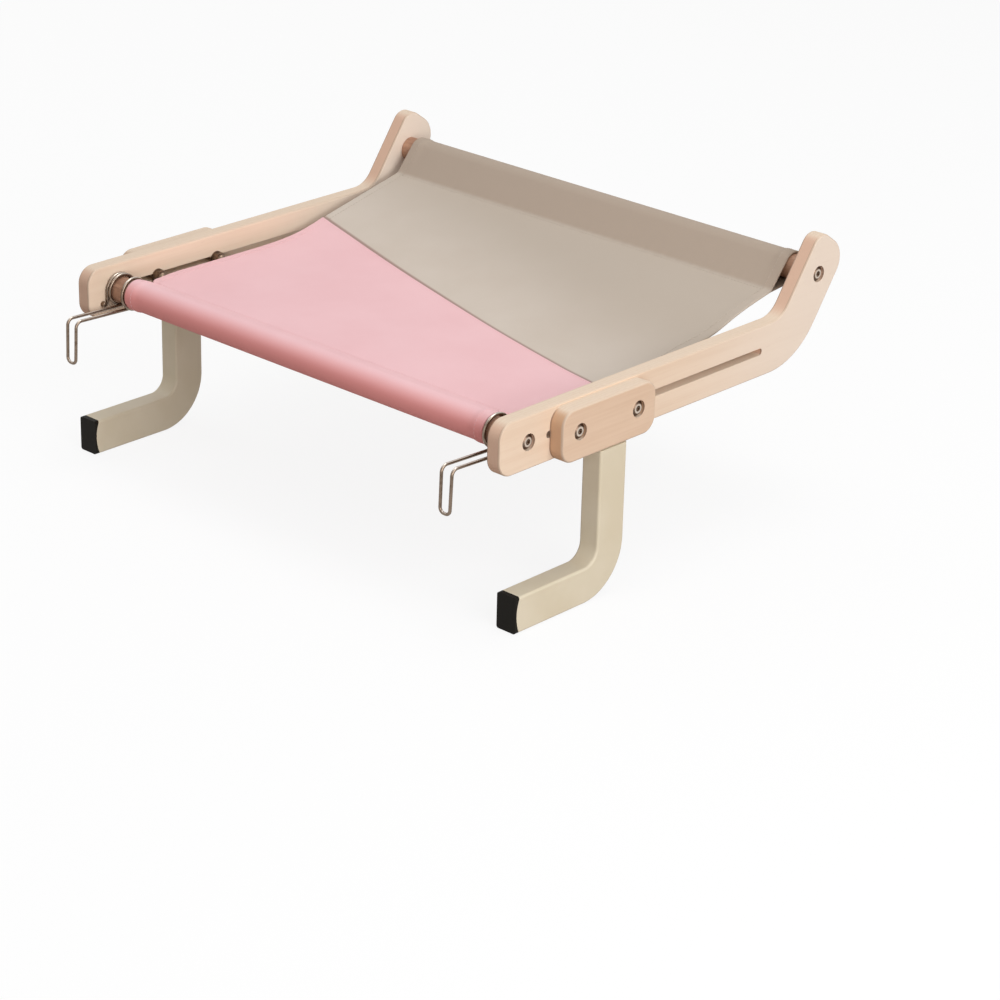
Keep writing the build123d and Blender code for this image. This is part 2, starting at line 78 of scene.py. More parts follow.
class Shade:
    # wraps one output socket of a node; arithmetic on it adds Math nodes
    def __init__(self, tree, socket=None):
        self.tree = tree
        self.socket = socket

    def node(self, kind, settings=None, values=None, output=0):
        # settings come first, because some of them change which sockets there are
        made = self.tree.nodes.new(kind)
        for name, setting in (settings or {}).items():
            setattr(made, name, setting)
        for name, value in (values or {}).items():
            if isinstance(value, Shade):
                self.tree.links.new(value.socket, made.inputs[name])
            else:
                made.inputs[name].default_value = value
        return Shade(self.tree, made.outputs[output] if len(made.outputs) else None)

    def also(self, name):
        # another output of the same node
        return Shade(self.tree, self.socket.node.outputs[name])

    def maths(self, operation, *terms):
        return self.node("ShaderNodeMath", {"operation": operation}, dict(enumerate(terms)))

    def __add__(self, other):
        return self.maths("ADD", self, other)

    def __radd__(self, other):
        return self.maths("ADD", other, self)

    def __sub__(self, other):
        return self.maths("SUBTRACT", self, other)

    def __rsub__(self, other):
        return self.maths("SUBTRACT", other, self)

    def __mul__(self, other):
        return self.maths("MULTIPLY", self, other)

    def __rmul__(self, other):
        return self.maths("MULTIPLY", other, self)

    def __truediv__(self, other):
        return self.maths("DIVIDE", self, other)

    def __pow__(self, other):
        return self.maths("POWER", self, other)

    def sine(self):
        return self.maths("SINE", self)

    def size(self):
        return self.maths("ABSOLUTE", self)

    def fraction(self):
        return self.maths("FRACT", self)

    def between(self, low, high):
        # 0 below low and 1 above high, smooth on the way
        values = {"Value": self, "From Min": low, "From Max": high}
        return self.node("ShaderNodeMapRange", {"interpolation_type": "SMOOTHSTEP"}, values)

    def tint(self, first, second):
        # first where this is 0 and second where it is 1; the Mix node's colours are its inputs 6 and 7
        return self.node("ShaderNodeMix", {"data_type": "RGBA"}, {0: self, 6: first, 7: second}, 2)

    def noise(self, place, scale, detail=3, roughness=0.5):
        # scale is one number, or a number for each axis where the noise is drawn out
        if isinstance(scale, tuple):
            drawnOut = {0: place, 1: scale}
            place = self.node("ShaderNodeVectorMath", {"operation": "MULTIPLY"}, drawnOut)
            scale = 1
        values = {"Vector": place, "Scale": scale, "Detail": detail, "Roughness": roughness}
        return self.node("ShaderNodeTexNoise", {}, values)

    def place(self):
        return self.node("ShaderNodeTexCoord", output="Object")

    def facing(self):
        return self.node("ShaderNodeTexCoord", output="Normal")

    def axes(self):
        # x, y and z of a vector
        x = self.node("ShaderNodeSeparateXYZ", {}, {0: self})
        return x, x.also("Y"), x.also("Z")


def startMaterial(name):
    material = bpy.data.materials.new(name)
    material.use_nodes = True
    material.node_tree.nodes.clear()
    return material, Shade(material.node_tree)


def finishMaterial(shade, look, colour, roughness, height, **fixed):
    # fixed holds what is the same all over the surface
    relief = {"Strength": look["bump"], "Distance": look["bumpReach"], "Height": height}
    values = {"Base Color": colour, "Roughness": roughness}
    values["Normal"] = shade.node("ShaderNodeBump", {}, relief)
    values.update({name.replace("_", " "): value for name, value in fixed.items()})
    surface = shade.node("ShaderNodeBsdfPrincipled", {}, values)
    shade.node("ShaderNodeOutputMaterial", {}, {"Surface": surface})


# wood

plyLook = {
    "face": (0.83, 0.66, 0.51, 1),
    "faceDeep": (0.77, 0.58, 0.43, 1),
    # painted light: the wood is paler toward the rear
    "rearPaintedLight": (0.86, 0.75, 0.65, 1),
    "rearPaintedLightFrom": 0.16,  # metres back, where the painted light starts to pale the wood
    "rearPaintedLightTo": 0.36,
    "rearPaintedLightSeen": 0.7,
    "fleck": (0.50, 0.34, 0.23, 1),
    "fleckSeen": 0.16,
    "edgePale": (0.78, 0.64, 0.51, 1),
    "edgeDeep": (0.70, 0.52, 0.37, 1),
    "endGrain": (0.68, 0.44, 0.32, 1),  # where a cut faces forwards or back
    "endGrainSeen": 0.85,
    "plies": 9,
    "glue": (0.36, 0.23, 0.16, 1),
    "glueShare": 0.07,  # of a ply's thickness, on either side of a glue line
    "glueSeen": 0.10,
    "glueSeenAcross": 0.12,  # added where a cut faces forwards or back
    "arris": (0.66, 0.52, 0.40, 1),  # the rounded edges
    "arrisSeen": 0.85,
    "arrisDark": 0.51,  # of the glue's colour over them, where they run across
    "wander": 0.12,  # of a ply, by which the glue lines stray
    "wanderScale": (60, 25, 60),
    "grainScale": (30, 7, 260),
    "figureScale": (20, 5, 38),
    "fleckScale": (400, 90, 900),
    "endGrainScale": (900, 300, 900),
    "roughness": 0.58,
    "cutRougher": 0.16,
    "specular": 0.28,
    "bump": 0.30,
    "bumpReach": 0.12 * mm,
}
coverLook = {
    **plyLook,
    "face": (0.745, 0.555, 0.41, 1),
    "faceDeep": (0.67, 0.47, 0.33, 1),
    "endGrain": (0.56, 0.33, 0.19, 1),
}


def plywood(name, look, inside, outside):
    # layers lie across X, from the inner face to the outer one, and show wherever the wood is cut
    material, shade = startMaterial(name)
    place = shade.place()
    x, y = place.axes()[:2]
    facingX, facingY = (way.size() for way in shade.facing().axes()[:2])
    skin = facingX.between(0.72, 0.97)  # 1 on the flat faces and 0 on the cuts
    cutAcross = facingY.between(0.25, 0.8)
    arris = facingX.between(0.12, 0.35) * (1 - facingX.between(0.88, 0.99))
    grain = shade.noise(place, look["grainScale"], 5, 0.62)
    figure = shade.noise(place, look["figureScale"])
    flecks = shade.noise(place, look["fleckScale"], 2, 0.6)
    endGrain = shade.noise(place, look["endGrainScale"], 3, 0.7)
    wander = shade.noise(place, look["wanderScale"], 2) - 0.5

    # the layers: their glue lines, every other one, and the first and last
    depth = (x.size() - inside) / (outside - inside) * look["plies"]
    layer = depth + wander * look["wander"]
    glueLine = (layer.fraction() - 0.5).size().between(0.5 - look["glueShare"], 0.5)
    odd = ((layer * 0.5).fraction() - 0.5).between(-0.02, 0.02)
    fromMiddle = (depth / look["plies"] - 0.5).size()
    outermost = fromMiddle.between(0.5 - 1.15 / look["plies"], 0.5 - 0.85 / look["plies"])

    face = (grain * 0.55 + figure * 0.45).between(0.34, 0.72).tint(look["face"], look["faceDeep"])
    # painted light, paler toward the rear
    rearPaintedLight = y.between(look["rearPaintedLightFrom"], look["rearPaintedLightTo"]) * look["rearPaintedLightSeen"]
    face = rearPaintedLight.tint(face, look["rearPaintedLight"])
    edge = (odd * 0.15 + endGrain * 0.6).between(0.1, 1).tint(look["edgePale"], look["edgeDeep"])
    edge = (cutAcross * look["endGrainSeen"]).tint(edge, look["endGrain"])
    glueSeen = look["glueSeen"] + cutAcross * look["glueSeenAcross"]
    edge = (glueLine * glueSeen).tint(edge, look["glue"])
    edge = (outermost * cutAcross * look["arrisSeen"]).tint(edge, look["glue"])
    colour = skin.tint(edge, face)
    colour = (arris * look["arrisSeen"]).tint(colour, look["arris"])
    colour = (arris * cutAcross * look["arrisDark"]).tint(colour, look["glue"])
    colour = (flecks.between(0.64, 0.80) * look["fleckSeen"]).tint(colour, look["fleck"])
    height = grain * 0.5 + flecks * 0.2 - (1 - skin) * (glueLine * 0.3 + endGrain * 0.3)
    roughness = look["roughness"] + (1 - skin) * look["cutRougher"] + (flecks - 0.5) * 0.1
    finishMaterial(shade, look, colour, roughness, height, Specular_IOR_Level=look["specular"])
    return material


railLook = {
    "pale": (0.50, 0.28, 0.18, 1),
    "deep": (0.33, 0.165, 0.10, 1),
    "pore": (0.17, 0.085, 0.05, 1),
    "poreSeen": 0.55,
    "grainScale": (9, 240, 240),
    "bandScale": (3, 45, 70),
    "poreScale": (160, 1500, 1500),
    "roughness": 0.48,
    "bump": 0.35,
    "bumpReach": 0.12 * mm,
}


def dowelWood(name, look):
    # straight grain along X, with short dark pores
    material, shade = startMaterial(name)
    place = shade.place()
    grain = shade.noise(place, look["grainScale"], 5, 0.6)
    bands = shade.noise(place, look["bandScale"], 2)
    pores = shade.noise(place, look["poreScale"], 1).between(0.62, 0.74)
    colour = (grain * 0.6 + bands * 0.4).between(0.32, 0.70).tint(look["pale"], look["deep"])
    colour = (pores * look["poreSeen"]).tint(colour, look["pore"])
    height = grain * 0.6 - pores * 0.5
    finishMaterial(shade, look, colour, look["roughness"] + grain * 0.12, height)
    return material


# painted, plated and moulded pieces

paintLook = {
    "fresh": (0.715, 0.635, 0.485, 1),
    "warm": (0.67, 0.585, 0.43, 1),  # where it lies thick
    "warmScale": 22,
    "speck": (0.42, 0.35, 0.26, 1),
    "speckSeen": 0.10,
    "speckScale": 2600,
    "peelScale": 900,
    "roughness": 0.46,
    "specular": 0.45,
    "bump": 0.22,
    "bumpReach": 0.10 * mm,
}


def creamPaint(name, look):
    # powder coat with a fine orange-peel skin
    material, shade = startMaterial(name)
    place = shade.place()
    peel = shade.noise(place, look["peelScale"], 2)
    thick = shade.noise(place, look["warmScale"])
    specks = shade.noise(place, look["speckScale"], 1)
    colour = thick.between(0.3, 0.7).tint(look["fresh"], look["warm"])
    colour = (specks.between(0.66, 0.76) * look["speckSeen"]).tint(colour, look["speck"])
    roughness = look["roughness"] + (thick - 0.5) * 0.12
    height = peel + specks * 0.25
    finishMaterial(shade, look, colour, roughness, height, Specular_IOR_Level=look["specular"])
    return material


capLook = {
    "plastic": (0.008, 0.0065, 0.0045, 1),
    "scuff": (0.024, 0.020, 0.015, 1),
    "scuffSeen": 0.6,
    "scuffScale": 130,
    "gritScale": 2400,
    "roughness": 0.55,
    "specular": 0.1,
    "bump": 0.3,
    "bumpReach": 0.08 * mm,
}


def blackPlastic(name, look):
    # spark-eroded texture with pale scuffs
    material, shade = startMaterial(name)
    place = shade.place()
    grit = shade.noise(place, look["gritScale"], 2, 0.6)
    scuffs = shade.noise(place, look["scuffScale"], 4, 0.65)
    colour = (scuffs.between(0.55, 0.8) * look["scuffSeen"]).tint(look["plastic"], look["scuff"])
    roughness = look["roughness"] + (scuffs - 0.5) * 0.2
    finishMaterial(shade, look, colour, roughness, grit, Specular_IOR_Level=look["specular"])
    return material


boltLook = {
    "patina": (0.15, 0.10, 0.07, 1),
    # painted highlight on the turned flat
    "paintedHighlight": (0.66, 0.56, 0.47, 1),
    "paintedHighlightSeen": 0.8,
    # painted shade in the hexagon socket
    "hollow": (0.24, 0.18, 0.14, 1),
    "hollowSeen": 0.92,
    "flatR": 3.6 * mm,
    "hollowR": 2.0 * mm,
    "blur": 0.1 * mm,  # of the borders between them
    "turnPitch": 0.28 * mm,
    "smokeScale": 420,
    "roughness": 0.36,
    "bump": 0.25,
    "bumpReach": 0.05 * mm,
}


def bronzeBolt(name, look, centre):
    # dark bevel, a turned flat with a painted highlight and a hexagon socket darkened as painted shade, by
    # distance from the bolt's axis
    material, shade = startMaterial(name)
    place = shade.place()
    y, z = place.axes()[1:]
    away = ((y - centre.y) ** 2 + (z - centre.z) ** 2) ** 0.5
    turning = (away * (2 * math.pi / look["turnPitch"])).sine()
    smoke = shade.noise(place, look["smokeScale"], 3, 0.6)
    blur = look["blur"]
    onFlat = 1 - away.between(look["flatR"] - blur, look["flatR"] + blur)
    onFlat = onFlat * away.between(look["hollowR"], look["hollowR"] + 3 * blur)
    inHollow = 1 - away.between(look["hollowR"] - 3 * blur, look["hollowR"] + blur)
    # painted highlight on the flat, with brighter patches at random
    paintedHighlight = (onFlat * look["paintedHighlightSeen"] + smoke.between(0.5, 0.75) * 0.35).between(0, 1)
    colour = paintedHighlight.tint(look["patina"], look["paintedHighlight"])
    # painted shade in the hexagon socket
    colour = (inHollow * look["hollowSeen"]).tint(colour, look["hollow"])
    roughness = look["roughness"] + (smoke - 0.5) * 0.25 + inHollow * 0.2
    height = turning * onFlat * 0.4 + smoke * 0.3
    finishMaterial(shade, look, colour, roughness, height, Metallic=1.0)
    return material


steelLook = {
    "smokeScale": 260,
    "drawScale": (700, 700, 700),
    "bump": 0.18,
    "bumpReach": 0.04 * mm,
}
zincLook = {
    **steelLook,
    "pale": (0.62, 0.62, 0.60, 1),
    "deep": (0.48, 0.47, 0.45, 1),
    "roughness": 0.38,
    "drawScale": (900, 60, 900),
}
nutLook = {
    **steelLook,
    "pale": (0.23, 0.165, 0.12, 1),
    "deep": (0.13, 0.092, 0.065, 1),
    "roughness": 0.34,
}
wireLook = {
    **steelLook,
    "pale": (0.25, 0.19, 0.145, 1),
    "deep": (0.15, 0.105, 0.075, 1),
    "paintedHighlight": (0.66, 0.60, 0.54, 1),  # painted highlight on whatever faces up
    "paintedHighlightSeen": 0.8,
    "roughness": 0.24,
}


def platedSteel(name, look):
    material, shade = startMaterial(name)
    place = shade.place()
    smoke = shade.noise(place, look["smokeScale"], 4, 0.6)
    draw = shade.noise(place, look["drawScale"], 2)
    colour = smoke.between(0.35, 0.72).tint(look["pale"], look["deep"])
    # painted highlight: paler on whatever faces up
    if "paintedHighlight" in look:
        upwards = shade.facing().axes()[2].between(0.45, 0.95)
        colour = (upwards * look["paintedHighlightSeen"]).tint(colour, look["paintedHighlight"])
    roughness = look["roughness"] + (smoke - 0.5) * 0.2 + (draw - 0.5) * 0.12
    finishMaterial(shade, look, colour, roughness, draw + smoke * 0.3, Metallic=1.0)
    return material


# cloth

clothLook = {
    # each cloth: its own colours, and its painted shade behind the seam and round the sleeves
    "pink": {
        "pale": (0.885, 0.570, 0.592, 1), "deep": (0.850, 0.525, 0.545, 1),
        "paintedShadeBehindSeam": (0.885, 0.575, 0.600, 1), "rollPaintedShade": (0.820, 0.290, 0.270, 1),
    },
    "taupe": {
        "pale": (0.640, 0.562, 0.487, 1), "deep": (0.600, 0.518, 0.440, 1),
        "paintedShadeBehindSeam": (0.465, 0.395, 0.325, 1), "rollPaintedShade": (0.420, 0.335, 0.265, 1),
    },
    "paintedShadeFrom": 5 * mm,  # behind the seam, where the painted shade starts to deepen
    "paintedShadeTo": 120 * mm,
    "paintedShadeSeen": 0.85,
    "rollPaintedShadeSeen": 0.9,
    "seamPaintedShadow": (0.28, 0.14, 0.12, 1),  # painted shadow of the fold, a line behind the seam
    "seamPaintedShadowSeen": 0.65,
    "seamPaintedShadowWide": 4 * mm,
    "seamPaintedShadowBlur": 0.5 * mm,
    "pinkPaintedShade": (0, -17 * mm),  # the painted shade's stretch, from the front sleeve's crest
    "taupePaintedShade": (-1 * mm, 4 * mm),  # the same, from the rear stitch
    "threadPitch": 0.62 * mm,
    "weaveSeen": 0.08,
    "slubScale": (260, 2400, 1),
    "slubDownScale": (2400, 260, 1),
    "napScale": 900,
    "brushScale": 14,
    "roughness": 0.88,
    "specular": 0.25,
    "sheen": 0.18,
    "sheenRoughness": 0.5,
    "bump": 0.28,
    "bumpReach": 0.12 * mm,
}


def suedeCanvas(name, look, colours, paintedShadeStretch, seamAt):
    # a brushed plain weave, from the sheet's own measure across and along in metres; painted shade
    # makes the cloth deeper and redder along the given stretch round the sleeves' undersides, and
    # seamAt holds the seam's place from front to back at the middle, and its slant
    material, shade = startMaterial(name)
    x, y = shade.place().axes()[:2]
    behind = y - (x * seamAt[1] + seamAt[0])
    flat = shade.node("ShaderNodeUVMap", {"uv_map": "cut"})
    flatX, flatY = flat.axes()[:2]
    turn = 2 * math.pi / look["threadPitch"]
    weave = (flatX * turn).sine() * (flatY * turn).sine()
    slubs = shade.noise(flat, look["slubScale"], 2, 0.6) + shade.noise(flat, look["slubDownScale"], 2, 0.6)
    nap = shade.noise(flat, look["napScale"], 3, 0.7)
    brushed = shade.noise(flat, look["brushScale"], 3, 0.55)
    colour = (brushed * 0.7 + nap * 0.3).between(0.32, 0.70).tint(colours["pale"], colours["deep"])
    # painted shade: the cloth darkens further behind the seam
    paintedShadeBehindSeam = behind.between(look["paintedShadeFrom"], look["paintedShadeTo"]) * look["paintedShadeSeen"]
    colour = paintedShadeBehindSeam.tint(colour, colours["paintedShadeBehindSeam"])
    # painted shade, deeper and redder round the sleeves' undersides
    colour = (flatY.between(*paintedShadeStretch) * look["rollPaintedShadeSeen"]).tint(colour, colours["rollPaintedShade"])
    colour = (weave.size() * look["weaveSeen"]).tint(colour, colours["deep"])
    # painted shadow in a line just behind the seam
    seamPaintedShadowEnds = 1 - behind.between(look["seamPaintedShadowWide"] / 2, look["seamPaintedShadowWide"])
    seamPaintedShadow = behind.between(-look["seamPaintedShadowBlur"], 0) * seamPaintedShadowEnds
    colour = (seamPaintedShadow * look["seamPaintedShadowSeen"]).tint(colour, look["seamPaintedShadow"])
    height = weave * 0.5 + slubs * 0.5 + nap * 0.5
    roughness = look["roughness"] + (nap - 0.5) * 0.1
    finishMaterial(
        shade, look, colour, roughness, height, Specular_IOR_Level=look["specular"],
        Sheen_Weight=look["sheen"], Sheen_Roughness=look["sheenRoughness"], Sheen_Tint=colours["pale"],
    )
    return material


threadLook = {
    "pink": {"pale": (0.860, 0.520, 0.535, 1), "deep": (0.820, 0.470, 0.485, 1)},
    "taupe": {"pale": (0.500, 0.425, 0.355, 1), "deep": (0.450, 0.375, 0.305, 1)},
    "twistScale": 3200,
    "roughness": 0.55,
    "specular": 0.4,
    "bump": 0.4,
    "bumpReach": 0.08 * mm,
}


def sewingThread(name, look, colours):
    material, shade = startMaterial(name)
    twist = shade.noise(shade.place(), look["twistScale"], 2, 0.6)
    colour = twist.tint(colours["pale"], colours["deep"])
    roughness = look["roughness"] + twist * 0.2
    finishMaterial(shade, look, colour, roughness, twist, Specular_IOR_Level=look["specular"])
    return material


finishes = {
    "boardPly": plywood("boardPly", plyLook, boardLow.x, boardHigh.x),
    "coverPly": plywood("coverPly", coverLook, coverLow.x, coverHigh.x),
    "railWood": dowelWood("railWood", railLook),
    "creamPaint": creamPaint("creamPaint", paintLook),
    "blackPlastic": blackPlastic("blackPlastic", capLook),
    "zincSteel": platedSteel("zincSteel", zincLook),
    "nutBronze": platedSteel("nutBronze", nutLook),
    "springWire": platedSteel("springWire", wireLook),
    "pinkThread": sewingThread("pinkThread", threadLook, threadLook["pink"]),
    "taupeThread": sewingThread("taupeThread", threadLook, threadLook["taupe"]),
}
# what the nodes of the left and right side wear
nodeFinish = {
    "side_board": "boardPly", "cover_plate": "coverPly", "leg_tube": "creamPaint",
    "leg_bracket": "creamPaint", "leg_end_cap": "blackPlastic", "hook_wire": "springWire",
    "hook_stop_pin": "nutBronze", "clamp_washer_front": "nutBronze", "clamp_washer_back": "nutBronze",
    "clamp_nut_front": "nutBronze", "clamp_nut_back": "nutBronze",
    "rail_insert_front": "zincSteel", "rail_insert_back": "zincSteel",
}


def dressNode(name, material):
    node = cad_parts[name]
    node.data.materials.clear()
    node.data.materials.append(material)


for name in ("front_rail", "back_rail"):
    dressNode(name, finishes["railWood"])
for side in sides:
    for name, finish in nodeFinish.items():
        dressNode(f"{name}_{side}", finishes[finish])
for which in ("clamp_bolt_front", "clamp_bolt_back", "rail_bolt_front", "rail_bolt_back"):
    centre = sum(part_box(f"{which}_right"), Vector()) / 2
    material = bronzeBolt(which + "Bronze", boltLook, centre)
    for side in sides:
        dressNode(f"{which}_{side}", material)
print("CAD nodes dressed")


def newPiece(name, points, faces, material, smooth=True):
    mesh = bpy.data.meshes.new(name)
    mesh.from_pydata([tuple(p) for p in points], [], faces)
    mesh.polygons.foreach_set("use_smooth", [smooth] * len(mesh.polygons))
    mesh.materials.append(material)
    mesh.update()
    piece = bpy.data.objects.new(name, mesh)
    bpy.context.scene.collection.objects.link(piece)
    return piece


# hook springs

spring = {
    "wireR": 1.25 * mm,
    "ringR": 12.15 * mm,
    "tailAt": 180,  # in degrees, from the back up and over
    "tailLong": 10.5 * mm,
    "tailSteps": 6,
    "armAt": -92.3,
    "stepDegrees": 4,
    "tubeSides": 28,
    "pegBend": 2.6 * mm,
    "pegBendSteps": 8,
    "pegLong": 5 * mm,
    "pegSteps": 4,
    "shiftZone": 0.55 * mm,  # either side of the inner coil's middle
}


def ringPlace(x, angle):
    turn = math.radians(angle)
    out = Vector((0, math.cos(turn), math.sin(turn))) * spring["ringR"]
    return Vector((x, frontRail.y, frontRail.z)) + out


def coilPlaces(fromX, toX, fromAngle, sweep):
    count = round(abs(sweep) / spring["stepDegrees"])
    shares = [k / count for k in range(count + 1)]
    return [ringPlace(fromX + (toX - fromX) * t, fromAngle + sweep * t) for t in shares]


def wireMesh(name, line, material):
    # a round tube along the points, its rings carried without twist, closed at both ends
    count = spring["tubeSides"]
    last = len(line) - 1
    headings = [
        (line[min(i + 1, last)] - line[max(i - 1, 0)]).normalized() for i in range(last + 1)
    ]
    out = headings[0].orthogonal().normalized()
    points = []
    for at, heading in zip(line, headings):
        out = (out - heading * out.dot(heading)).normalized()
        other = heading.cross(out)
        for k in range(count):
            turn = 2 * math.pi * k / count
            points.append(at + (out * math.cos(turn) + other * math.sin(turn)) * spring["wireR"])
    faces = []
    for i in range(last):
        for k in range(count):
            a = i * count + k
            b = i * count + (k + 1) % count
            faces.append((a, b, b + count, a + count))
    faces.append(tuple(reversed(range(count))))
    faces.append(tuple(range(last * count, (last + 1) * count)))
    return newPiece(name, points, faces, material)


for side, sign in sides.items():
    outerLow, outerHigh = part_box(f"hook_spring_outer_{side}")
    innerLow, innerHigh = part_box(f"hook_spring_inner_{side}")
    outerXs = sorted((abs(outerLow.x), abs(outerHigh.x)))
    innerXs = sorted((abs(innerLow.x), abs(innerHigh.x)))
    tailX = sign * (outerXs[1] - spring["wireR"])
    outerArmX = sign * (outerXs[0] + spring["wireR"])
    innerArmX = sign * (innerXs[1] - spring["wireR"])
    pegX = sign * (innerXs[0] + spring["wireR"])
    # outer coil, from its tail on the stop pin to the hook's outer arm
    tailTop = ringPlace(tailX, spring["tailAt"])
    tailSteps = spring["tailSteps"]
    tail = [
        tailTop - Vector((0, 0, spring["tailLong"] * (1 - k / tailSteps))) for k in range(tailSteps)
    ]
    sweep = spring["armAt"] - 360 - spring["tailAt"]
    turns = coilPlaces(tailX, outerArmX, spring["tailAt"], sweep)
    outer = wireMesh(f"hookCoilOuter_{side}", tail + turns, finishes["springWire"])
    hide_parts(f"hook_spring_outer_{side}")
    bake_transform(outer)
    # inner coil, from the inner arm to the peg that turns into the rail
    turns = coilPlaces(innerArmX, pegX, spring["armAt"], 360)
    inwards = (Vector((pegX, frontRail.y, frontRail.z)) - turns[-1]).normalized()
    onwards = Vector((0, -inwards.z, inwards.y))
    bendAt = turns[-1] + inwards * spring["pegBend"]
    bend = []
    for k in range(spring["pegBendSteps"]):
        t = math.pi / 2 * (k + 1) / spring["pegBendSteps"]
        bend.append(bendAt + (onwards * math.sin(t) - inwards * math.cos(t)) * spring["pegBend"])
    pegStep = inwards * spring["pegLong"] / spring["pegSteps"]
    peg = [bend[-1] + pegStep * (k + 1) for k in range(spring["pegSteps"])]
    inner = wireMesh(f"hookCoilInner_{side}", turns + bend + peg, finishes["springWire"])
    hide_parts(f"hook_spring_inner_{side}")
    middle = (innerArmX + pegX) / 2
    middle - sign * spring["shiftZone"]
    middle + sign * spring["shiftZone"]
    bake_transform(inner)
print("hook springs wound")


# sling

sling = {
    "cloth": 0.9 * mm,
    "offRail": 0.7 * mm,
    "layers": 0.95 * mm,  # between the middles of two layers sewn together
    "flap": 8 * mm,
    "flapBend": 4 * mm,
    "flapNarrower": 3.5 * mm,
    "notchDeep": 17 * mm,  # from the front rail's middle back to where the cloth widens
    "notchSlant": 10 * mm,
    "frontStitch": (22.7 * mm, 3.05 * mm),  # from the front rail's middle, back and up
    "backStitch": (-26.7 * mm, -13.2 * mm),
    "stitchBend": 6 * mm,
    "riseShare": 0.51,  # of the way back between the rails, where the sheet starts to rise
    "riseBend": 250 * mm,
    "frontHalf": 189.2 * mm,
    "backHalf": 198.7 * mm,
    "edgeBow": 1.5 * mm,
    "edgeLift": 1.5 * mm,  # the taut side edges over the rest of the flat stretch
    "edgeLiftFrom": 0.75,  # of the half width
    "edgeLiftEnds": (170 * mm, 220 * mm),  # back, where it fades
    "sag": 3.5 * mm,  # of the right edge where the sheet starts to rise
    "sagFrom": 0.35,  # of the half width
    "sagAt": 258 * mm,
    "sagReach": 24 * mm,
    "ripple": 0.35 * mm,
    "rippleEase": 30 * mm,
    "pucker": 0.16 * mm,
    "puckerPitch": 11 * mm,
    "puckerReach": (7 * mm, 9 * mm),  # from the front and the rear stitch
    "hemWide": 9 * mm,
    "hemEase": (-1 * mm, 3 * mm),  # where its swelling fades, past its width
    "hemSwell": 0.15 * mm,
    "hemSwellRound": 0.65 * mm,  # on the sleeves, where it shows as a ring
    "ringFrom": 4 * mm,  # behind the rear stitch
    "hemTuck": 2.1,  # layers by which the flaps' hems clear the sheet's
    "foldFrom": 12 * mm,  # in from the edge, where the places beside a fold begin
    "foldShare": 0.95,  # of a hem's width that its turned edge covers
    "foldSteps": 6,
    "seamLeftShare": 0.647,  # of the way back between the rails, at either edge
    "seamRightShare": 0.317,
    "seamLap": 8 * mm,
    "seamClear": 3 * mm,  # from the lap to the last row that nears the seam
    "seamRise": 0.55 * mm,  # of the front panel's folded edge over the rear panel
    "seamRiseReach": 5 * mm,
    # the rear panel under that edge and behind it: back from the seam and up, in millimetres
    "underSeam": (
        (-7.6, -1.9), (-4.8, -1.9), (-2.4, -1.8), (-1.5, -1.5), (0, -1.1),
        (0.8, -0.75), (1.8, -0.45), (3, -0.22), (4.5, -0.08), (6.5, 0),
    ),
    "bendStep": 0.8 * mm,
    "flatStep": 2.5 * mm,
    "roundStep": 0.05,  # radians
    "columns": 134,
    "columnsReach": 0.925,  # of the half width; the hems' own columns lie beyond
    "frontRows": 60,
    "backRows": 80,
    "firstRow": 0.02,  # the share of their way at which both start
    "straightFrom": 12 * mm,  # before the sheet's end, where the rows run straight across again
}
sleeveR = railR + sling["offRail"] + sling["cloth"] / 2
axisFront = np.array([frontRail.y, frontRail.z])
axisBack = np.array([backRail.y, backRail.z])
stitchFront = axisFront + sling["frontStitch"]
stitchBack = axisBack + sling["backStitch"]


def tangentAngle(axis, point, side):
    # where a straight run from the point meets the sleeve's round, in radians from the back
    away = point - axis
    return math.atan2(away[1], away[0]) + side * math.acos(sleeveR / math.hypot(*away))


def roundAt(axis, angle):
    return axis + sleeveR * np.array([math.cos(angle), math.sin(angle)])


def straight(a, b, step=sling["bendStep"]):
    count = max(2, round(float(np.hypot(*(b - a))) / step))
    return [a + (b - a) * k / count for k in range(count)]


def arc(axis, fromAngle, toAngle):
    count = round(abs(toAngle - fromAngle) / sling["roundStep"])
    return [roundAt(axis, fromAngle + (toAngle - fromAngle) * k / count) for k in range(count)]


def softCorner(a, corner, b, radius):
    # the arc that replaces a corner of the line
    inward = (a - corner) / np.hypot(*(a - corner))
    onward = (b - corner) / np.hypot(*(b - corner))
    half = math.acos(float(np.clip(inward @ onward, -1, 1))) / 2
    reach = radius / math.tan(half)
    centre = corner + (inward + onward) / np.hypot(*(inward + onward)) * radius / math.sin(half)
    start = corner + inward * reach - centre
    stop = corner + onward * reach - centre
    fromAngle = math.atan2(start[1], start[0])
    turn = (math.atan2(stop[1], stop[0]) - fromAngle + math.pi) % (2 * math.pi) - math.pi
    count = max(4, round(abs(turn) * radius / sling["bendStep"]))
    angles = [fromAngle + turn * k / count for k in range(count + 1)]
    return [centre + radius * np.array([math.cos(angle), math.sin(angle)]) for angle in angles]


